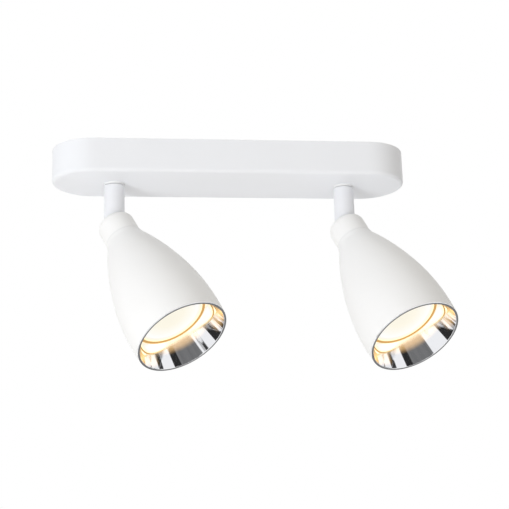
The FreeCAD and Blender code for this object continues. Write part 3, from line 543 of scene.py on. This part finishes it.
def lit_lens(name, side, rim_light, radius):
    """Frosted front glass, lit from behind: creamy in the middle, whiter out to a golden edge."""
    material, nodes = new_finish(name)
    place = nodes.place()
    frost = nodes.noise(place, 0.0006)
    cloud = nodes.noise(place, 0.014)
    out = HeadPlace(nodes, side).radius() / radius + (cloud - 0.5) * 0.06
    light = nodes.ramp(out, (
        (0.0, (0.93, 0.885, 0.75)), (0.45, (0.945, 0.90, 0.765)), (0.74, (0.95, 0.93, 0.86)),
        (0.89, rim_light), (0.965, (0.95, 0.91, 0.80)), (1.0, (0.92, 0.84, 0.66))))
    nodes.surface(
        base_color=nodes.mixed(frost, (0.05, 0.048, 0.045, 1.0), (0.08, 0.077, 0.072, 1.0)),
        roughness=0.3 + frost * 0.15,
        specular_ior_level=0.3,
        emission_color=light,
        emission_strength=0.97,
        normal=nodes.bump(frost, 0.00002))
    return material


# Modelling


def only(piece):
    """Nothing is selected but this piece."""
    if bpy.context.mode != "OBJECT":
        bpy.ops.object.mode_set(mode="OBJECT")
    bpy.ops.object.select_all(action="DESELECT")
    if piece is not None:
        piece.select_set(True)
        bpy.context.view_layer.objects.active = piece


def pick(piece, wanted):
    """Selects the vertices whose place is wanted, and goes into edit mode."""
    bpy.ops.object.mode_set(mode="OBJECT")
    mesh = piece.data
    mesh.polygons.foreach_set("select", [False] * len(mesh.polygons))
    mesh.edges.foreach_set("select", [False] * len(mesh.edges))
    mesh.vertices.foreach_set("select", [bool(wanted(v.co)) for v in mesh.vertices])
    bpy.ops.object.mode_set(mode="EDIT")
    bpy.ops.mesh.select_mode(type="VERT")


def on_circle(point):
    """Test for the vertices that a point of a turned row became."""
    radius, height = point
    return lambda co: abs(co.xy.length - radius) < SAME_PLACE and abs(co.z - height) < SAME_PLACE


def turn_profile(name, points, steps, closed):
    """Turns a row of (radius, height) points about Z: a circle, extruded and scaled from point to
    point. A closed row gives a ring. Otherwise both ends are capped."""
    only(None)
    radius, height = points[0]
    bpy.ops.mesh.primitive_circle_add(
        vertices=steps, radius=radius, location=(0.0, 0.0, 0.0), fill_type="NOTHING")
    piece = bpy.context.object
    piece.name = piece.data.name = name
    bpy.ops.object.mode_set(mode="EDIT")
    bpy.ops.mesh.select_all(action="SELECT")
    bpy.ops.transform.translate(value=(0.0, 0.0, height))
    for after, level in points[1:]:
        bpy.ops.mesh.extrude_region_move(
            TRANSFORM_OT_translate={"value": (0.0, 0.0, level - height)})
        scale = after / radius
        bpy.ops.transform.resize(value=(scale, scale, 1.0), center_override=(0.0, 0.0, level))
        radius, height = after, level
    first, last = on_circle(points[0]), on_circle(points[-1])
    if closed:
        pick(piece, lambda co: first(co) or last(co))
        bpy.ops.mesh.bridge_edge_loops()
    else:
        for end in (first, last):
            pick(piece, end)
            bpy.ops.mesh.edge_face_add()
            bpy.ops.mesh.poke()
    bpy.ops.mesh.select_all(action="SELECT")
    bpy.ops.mesh.normals_make_consistent(inside=False)
    bpy.ops.object.mode_set(mode="OBJECT")
    return piece


def settle(piece, turned, smooth=35.0):
    """Puts the place and turn of a piece into its mesh, and smooths its edges up to an angle."""
    only(piece)
    piece.matrix_world = turned
    bpy.ops.object.transform_apply(location=True, rotation=True, scale=True)
    bpy.ops.object.shade_smooth_by_angle(angle=math.radians(smooth))


def stand_for(piece, node, body, finish):
    """The piece takes the place of a solid, after a look that it lies where the solid does."""
    low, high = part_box(node)
    for corner in piece.bound_box:
        for axis in range(3):
            if not low[axis] - BOX_MARGIN <= corner[axis] <= high[axis] + BOX_MARGIN:
                raise RuntimeError(piece.name + " doesn't lie where " + node + " does")
    piece.data.materials.clear()
    piece.data.materials.append(finish)
    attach(piece, body)
    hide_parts(node)


def dress(finish, *names):
    """Gives a finish to solids that keep their own shape."""
    for name in names:
        for slot in frame["nodes"][name].material_slots:
            slot.material = finish


# Pieces


class SPOTLIGHT_OT_base(Operator):
    """Paints the wall base, and finishes the bracket, wiring parts and screws inside it"""

    bl_idname = "spotlight.base"
    bl_label = "Base and its fittings"

    def execute(self, context):
        colours, sizes = context.scene.spotlight_colours, context.scene.spotlight_sizes
        paint = base_coat("base_powder_coat", colours.base_paint, sizes.paint_grain)
        dress(paint, "base_cover")
        screw_paint = satin_paint("screw_paint", SCREW_WHITE, 0.42)
        dress(screw_paint, "cover_screw_left", "cover_screw_right")
        dress(zinc_plate("bracket_zinc", BRACKET_ZINC), "mounting_bracket", "block_screw")
        for side in SIDES:
            self.make_pin(side, screw_paint)
        nylon = moulded_plastic("bush_nylon", NYLON_WHITE, 0.45)
        dress(nylon, "swivel_bush_left", "swivel_bush_right")
        dress(moulded_plastic("block_plastic", BLOCK_CREAM, 0.5), "terminal_block")
        dress(soft_rubber("grommet_rubber", RUBBER_GREY), "cable_grommet")
        dress(
            bare_brass("clamp_brass", CLAMP_BRASS),
            "terminal_clamp_one", "terminal_clamp_two", "terminal_clamp_three", "earth_screw")
        return {"FINISHED"}

    def make_pin(self, side, paint):
        """Stop pin pressed in before the cover is painted, its end filled flush with the
        underside."""
        low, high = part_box("stop_pin_" + side)
        radius = (high[0] - low[0]) / 2
        filled = radius + 0.03 * MM
        skin, edge, steps = low[2] - 0.38 * MM, 0.2 * MM, 48
        points = [
            (filled, skin), (filled, skin + 0.9 * MM), (radius, skin + 0.95 * MM),
            (radius, high[2] - edge), (radius - edge, high[2])]
        piece = turn_profile("painted_stop_pin_" + side, points, steps, closed=False)
        middle = ((low[0] + high[0]) / 2, (low[1] + high[1]) / 2, 0.0)
        settle(piece, Matrix.Translation(middle))
        stand_for(piece, "stop_pin_" + side, "base", paint)


class SPOTLIGHT_OT_stems(Operator):
    """Paints the stems and finishes the swivel parts that ride with them"""

    bl_idname = "spotlight.stems"
    bl_label = "Stems and swivels"

    def execute(self, context):
        colours = context.scene.spotlight_colours
        paint = satin_paint("stem_satin_paint", colours.stem_paint, 0.38)
        zinc = zinc_plate("swivel_zinc", SWIVEL_ZINC)
        for side in SIDES:
            dress(paint, "stem_" + side)
            dress(zinc, *(part + side for part in (
                "nipple_", "stop_washer_", "swivel_washer_", "swivel_nut_", "hinge_pin_",
                "hinge_washer_front_", "hinge_washer_rear_")))
        return {"FINISHED"}


class SPOTLIGHT_OT_heads(Operator):
    """Paints the shells and collars, and finishes the hinge and lamp holder inside them"""

    bl_idname = "spotlight.heads"
    bl_label = "Heads and collars"

    def execute(self, context):
        colours, sizes = context.scene.spotlight_colours, context.scene.spotlight_sizes
        zinc = zinc_plate("hinge_zinc", BRACKET_ZINC)
        ceramic = fired_ceramic("holder_ceramic", CERAMIC_CREAM)
        for side in SIDES:
            paint = head_coat(
                "head_powder_coat_" + side, side, colours.head_paint, sizes.paint_grain)
            dress(paint, "head_shell_" + side, "collar_" + side)
            dress(zinc, *(part + side for part in (
                "hinge_tongue_", "head_nut_", "holder_spacer_a_", "holder_spacer_b_",
                "holder_screw_a_", "holder_screw_b_")))
            dress(ceramic, "lamp_holder_" + side, "lamp_base_" + side)
        return {"FINISHED"}


class SPOTLIGHT_OT_rings(Operator):
    """Turns the bright ring in each opening: a rim over the shell's edge, a cone and a tube"""

    bl_idname = "spotlight.rings"
    bl_label = "Bright rings"

    def execute(self, context):
        colours, sizes = context.scene.spotlight_colours, context.scene.spotlight_sizes
        points = self.ring_profile(
            sizes.ring_wall, sizes.ring_rim, sizes.ring_face, sizes.ring_throat)
        for side in SIDES:
            piece = turn_profile("bright_ring_" + side, points, sizes.turned_steps, closed=True)
            settle(piece, head_frame(side))
            finish = bright_chrome("bright_chrome_" + side, side, colours.chrome, colours.lamp_glow)
            stand_for(piece, "reflector_ring_" + side, "head_" + side, finish)
        return {"FINISHED"}

    def ring_profile(self, wall, rim, face, throat):
        """Section of a ring, with extra points along the cone so that its mirror image is even."""
        front, seat, inner, tube = -115.4 * MM, -114.8 * MM, -95.9 * MM, -93.9 * MM
        mouth, edge, lap = rim - face, 0.12 * MM, 1.0 * MM
        points = [
            (mouth - edge * 0.3, front + edge), (mouth + edge * 0.3, front + edge * 0.3),
            (mouth + edge, front), (rim - edge, front),
            (rim - edge * 0.3, front + edge * 0.3), (rim, front + edge),
            (rim, seat), (rim - lap, seat), (rim - lap, seat + 1.2 * MM),
            (throat + wall, inner), (throat + wall, tube),
            (throat, tube), (throat, inner - 0.1 * MM)]
        start, end = points[-1], points[0]
        for share in (0.015, 0.25, 0.5, 0.75, 0.985):
            points.append(tuple(a + (b - a) * share for a, b in zip(start, end)))
        return points


class SPOTLIGHT_OT_lamps(Operator):
    """Turns the lit front lens of each lamp, with moulded rings, and coats the bowl behind it"""

    bl_idname = "spotlight.lamps"
    bl_label = "Lamps"

    def execute(self, context):
        colours, sizes = context.scene.spotlight_colours, context.scene.spotlight_sizes
        points = self.lens_profile(sizes.lens_radius, sizes.lens_rings)
        for side in SIDES:
            piece = turn_profile("lit_lens_" + side, points, sizes.turned_steps, closed=False)
            settle(piece, head_frame(side), smooth=60.0)
            glass = lit_lens("lit_lens_" + side, side, colours.lens_light, sizes.lens_radius)
            stand_for(piece, "lamp_lens_" + side, "head_" + side, glass)
            coating = coated_bowl("coated_bowl_" + side, side, BOWL_COATING, colours.lamp_glow)
            dress(coating, "lamp_bowl_" + side)
        return {"FINISHED"}

    def lens_profile(self, edge, rings):
        """Section of a lens from its back edge to its middle: a raised border, then low rings."""
        back, front, border = -92.9 * MM, -95.3 * MM, 2.0 * MM
        points = [
            (edge, back), (edge, front + 0.5 * MM), (edge - 0.15 * MM, front + 0.15 * MM),
            (edge - 0.5 * MM, front), (edge - 1.3 * MM, front),
            (edge - 1.6 * MM, front + 0.35 * MM)]
        inside = edge - border
        for step in range(rings):
            out = inside * (1.0 - step / rings)
            into = inside * (1.0 - (step + 0.72) / rings)
            points += [(out, front + 0.3 * MM), (into, front + 0.12 * MM)]
        return points


# Studio

PART_MIDDLE = Vector((0.0, 0.0, -0.06))
FLOOR_SIZE, FLOOR_HEIGHT = 14.0, -1.3
FLOOR_WHITENED = 0.55  # share of white in the floor that the camera sees
SOFT_COLOUR = (1.0, 0.97, 0.916, 1.0)
LAMP_DISTANCE = 1.9
LAMPS = (
    # name, turn and rise seen from the part in degrees, side in metres, power in watts, colour
    ("key_panel", -45.0, -28.0, 0.4, 10.1, (0.915, 0.95, 1.0)),
    ("second_key_panel", -35.0, -22.0, 0.4, 4.4, (0.955, 0.96, 1.0)),
    ("front_high_panel", -50.0, 40.0, 1.1, 4.4, (0.59, 0.73, 1.0)),
    ("front_low_panel", 25.0, -48.0, 1.1, 6.4, (1.0, 0.913, 0.857)),
    ("right_low_panel", 90.0, -40.0, 1.1, 2.85, (0.55, 0.71, 1.0)),
    ("rear_low_panel", 180.0, -35.0, 1.1, 4.6, (0.85, 0.885, 1.0)),
)
CARDS = (
    # name, turn, rise, lean, width and height seen from the part in degrees, distance in metres,
    # grey level, and whether it shades the part and doesn't show in metal
    ("dark_card_above_camera", 2.0, 13.0, 0.0, 64.0, 24.0, 1.10, 0.03, False),
    ("dark_card_beside_camera", -22.0, -4.0, 0.0, 16.0, 14.0, 1.10, 0.05, False),
    ("grey_card_behind", 132.0, -46.0, 0.0, 58.0, 44.0, 1.14, 0.19, False),
    ("grey_card_below", -170.0, -66.0, 0.0, 76.0, 26.0, 1.14, 0.19, False),
    ("dark_card_low_left", -87.0, -63.0, 0.0, 23.0, 34.0, 1.08, 0.03, False),
    ("dark_strip_right", 79.0, -21.0, -35.0, 34.0, 6.0, 1.10, 0.03, False),
    ("dark_spot_right", 84.0, -8.0, -30.0, 12.0, 7.0, 1.09, 0.05, False),
    ("pale_spot_right", 87.0, -9.5, -30.0, 24.0, 8.0, 1.11, 0.55, False),
    ("grey_card_beside_camera", 34.0, -2.5, 0.0, 26.0, 8.0, 1.12, 0.45, False),
    ("black_flag_right", 90.0, 5.0, 0.0, 56.0, 40.0, 1.3, 0.02, True),
)


class SPOTLIGHT_OT_studio(Operator):
    """Sets up the pale floor, white surroundings, soft lights, studio cards and camera"""

    bl_idname = "spotlight.studio"
    bl_label = "Studio"

    def execute(self, context):
        studio = context.scene.spotlight_studio
        only(None)
        self.make_floor()
        self.make_surroundings(context, studio.soft_light)
        for lamp in LAMPS:
            self.make_lamp(*lamp)
        for card in CARDS:
            self.make_card(*card)
        self.make_camera(context, studio)
        context.scene.view_settings.view_transform = "Standard"
        return {"FINISHED"}

    def make_floor(self):
        """A pale matt floor far below the part. The camera sees it paler than it lights."""
        bpy.ops.mesh.primitive_plane_add(size=FLOOR_SIZE, location=(0.0, 0.0, FLOOR_HEIGHT))
        floor = bpy.context.object
        floor.name = "studio_floor"
        bpy.ops.object.transform_apply(location=True, rotation=True, scale=True)
        material, nodes = new_finish("studio_floor_paint")
        tone = nodes.mixed(nodes.noise(nodes.place(), 0.6), grey(0.87), grey(0.9))
        paint = nodes.add(
            "ShaderNodeBsdfPrincipled", None, {"Base Color": tone, "Roughness": 0.85}, "BSDF")
        white = nodes.add("ShaderNodeEmission", None, {"Color": WHITE, "Strength": 1.0})
        seen = nodes.add("ShaderNodeLightPath", output="Is Camera Ray") * FLOOR_WHITENED
        shown = nodes.add("ShaderNodeMixShader", None, {0: seen, 1: paint, 2: white})
        nodes.add("ShaderNodeOutputMaterial", None, {"Surface": shown})
        floor.data.materials.append(material)
        floor.visible_glossy = False

    def make_surroundings(self, context, strength):
        """Soft light from all round, which the camera, metal and glass see as plain white."""
        world = bpy.data.worlds.new("studio_surroundings")
        context.scene.world = world
        world.use_nodes = True
        nodes = Nodes(world.node_tree)
        seen = nodes.add("ShaderNodeLightPath", output="Is Camera Ray")
        mirrored = nodes.add("ShaderNodeLightPath", output="Is Glossy Ray")
        through = nodes.add("ShaderNodeLightPath", output="Is Transmission Ray")
        white = nodes.add("ShaderNodeBackground", None, {"Color": WHITE, "Strength": 1.0})
        soft = nodes.add(
            "ShaderNodeBackground", None, {"Color": SOFT_COLOUR, "Strength": strength})
        shown = nodes.add(
            "ShaderNodeMath", {"operation": "ADD", "use_clamp": True},
            {0: seen + mirrored, 1: through})
        mixed = nodes.add("ShaderNodeMixShader", None, {0: shown, 1: soft, 2: white})
        nodes.add("ShaderNodeOutputWorld", None, {"Surface": mixed})

    def seen_from_part(self, turn, rise, distance):
        """A place round the part, and the turn that faces the part from there."""
        turn, rise = math.radians(turn), math.radians(rise)
        level = math.cos(rise)
        way = Vector((math.sin(turn) * level, -math.cos(turn) * level, math.sin(rise)))
        return way * distance + PART_MIDDLE, (-way).to_track_quat("-Z", "Y").to_euler()

    def make_lamp(self, name, turn, rise, side, power, colour):
        """A square panel of light that no picture or reflection shows."""
        place, facing = self.seen_from_part(turn, rise, LAMP_DISTANCE)
        bpy.ops.object.light_add(type="AREA", location=place, rotation=facing)
        lamp = bpy.context.object
        lamp.name = lamp.data.name = name
        lamp.data.shape = "SQUARE"
        lamp.data.size = side
        lamp.data.energy = power
        lamp.data.color = colour
        lamp.visible_camera = lamp.visible_glossy = False

    def make_card(self, name, turn, rise, lean, width, height, distance, level, shades):
        """A dark or grey card of a photographer's studio: it shows only as a reflection in
        bright metal, or else it only keeps light away."""
        place, facing = self.seen_from_part(turn, rise, distance)
        only(None)
        bpy.ops.mesh.primitive_plane_add(size=1.0, location=(0.0, 0.0, 0.0))
        card = bpy.context.object
        card.name = name
        card.scale = [
            2.0 * distance * math.tan(math.radians(side / 2)) for side in (width, height)] + [1.0]
        bpy.ops.object.transform_apply(location=False, rotation=False, scale=True)
        turned = facing.to_matrix().to_4x4() @ Matrix.Rotation(math.radians(lean), 4, "Z")
        card.matrix_world = Matrix.Translation(place) @ turned
        bpy.ops.object.transform_apply(location=True, rotation=True, scale=True)
        material, nodes = new_finish(name)
        tone = nodes.noise(nodes.place(), 0.25)
        nodes.surface(
            base_color=BLACK,
            roughness=1.0,
            specular_ior_level=0.0,
            emission_color=nodes.mixed(tone, grey(level * 0.75), grey(level * 1.25)),
            emission_strength=1.0)
        card.data.materials.append(material)
        card.visible_camera = card.visible_transmission = False
        card.visible_diffuse = card.visible_shadow = shades
        card.visible_glossy = not shades

    def make_camera(self, context, studio):
        """The camera in front of the part and a little below it, looking up."""
        turn, rise, roll = studio.camera_turn, studio.camera_rise, studio.camera_roll
        flat = math.cos(rise)
        ahead = Vector((math.sin(turn) * flat, math.cos(turn) * flat, math.sin(rise)))
        level = Vector((math.cos(turn), -math.sin(turn), 0.0))
        upright = level.cross(ahead)
        right = level * math.cos(roll) + upright * math.sin(roll)
        up = upright * math.cos(roll) - level * math.sin(roll)
        aside = right * studio.camera_right + up * studio.camera_up
        turned = Matrix((right, up, -ahead)).transposed()
        bpy.ops.object.camera_add(
            location=-(aside + ahead * studio.camera_distance), rotation=turned.to_euler())
        camera = bpy.context.object
        camera.name = "photograph_camera"
        camera.data.lens = studio.camera_lens
        camera.data.clip_start, camera.data.clip_end = 0.01, 50.0
        context.scene.camera = camera


class SPOTLIGHT_PT_pieces(Panel):
    """Lists the pieces of the spotlight with their sizes and colours"""

    bl_idname = "SPOTLIGHT_PT_pieces"
    bl_label = "Two-head spotlight"
    bl_space_type = "VIEW_3D"
    bl_region_type = "UI"
    bl_category = "Spotlight"

    def draw(self, context):
        layout = self.layout
        for operator in OPERATORS:
            layout.operator(operator.bl_idname)
        for title, group in (
            ("Sizes", context.scene.spotlight_sizes),
            ("Colours", context.scene.spotlight_colours),
            ("Studio", context.scene.spotlight_studio),
        ):
            box = layout.box()
            box.label(text=title)
            for name in group.__annotations__:
                box.prop(group, name)


OPERATORS = (
    SPOTLIGHT_OT_base, SPOTLIGHT_OT_stems, SPOTLIGHT_OT_heads, SPOTLIGHT_OT_rings,
    SPOTLIGHT_OT_lamps, SPOTLIGHT_OT_studio)
CLASSES = (SpotlightSizes, SpotlightColours, SpotlightStudio) + OPERATORS + (SPOTLIGHT_PT_pieces,)


def register():
    for found in CLASSES:
        bpy.utils.register_class(found)
    bpy.types.Scene.spotlight_sizes = PointerProperty(type=SpotlightSizes)
    bpy.types.Scene.spotlight_colours = PointerProperty(type=SpotlightColours)
    bpy.types.Scene.spotlight_studio = PointerProperty(type=SpotlightStudio)


def unregister():
    del bpy.types.Scene.spotlight_studio
    del bpy.types.Scene.spotlight_colours
    del bpy.types.Scene.spotlight_sizes
    for found in reversed(CLASSES):
        bpy.utils.unregister_class(found)


def main():
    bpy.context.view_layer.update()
    register()
    bpy.ops.spotlight.base()
    bpy.ops.spotlight.stems()
    bpy.ops.spotlight.heads()
    bpy.ops.spotlight.rings()
    bpy.ops.spotlight.lamps()
    bpy.ops.spotlight.studio()


if __name__ == "__main__":
    main()
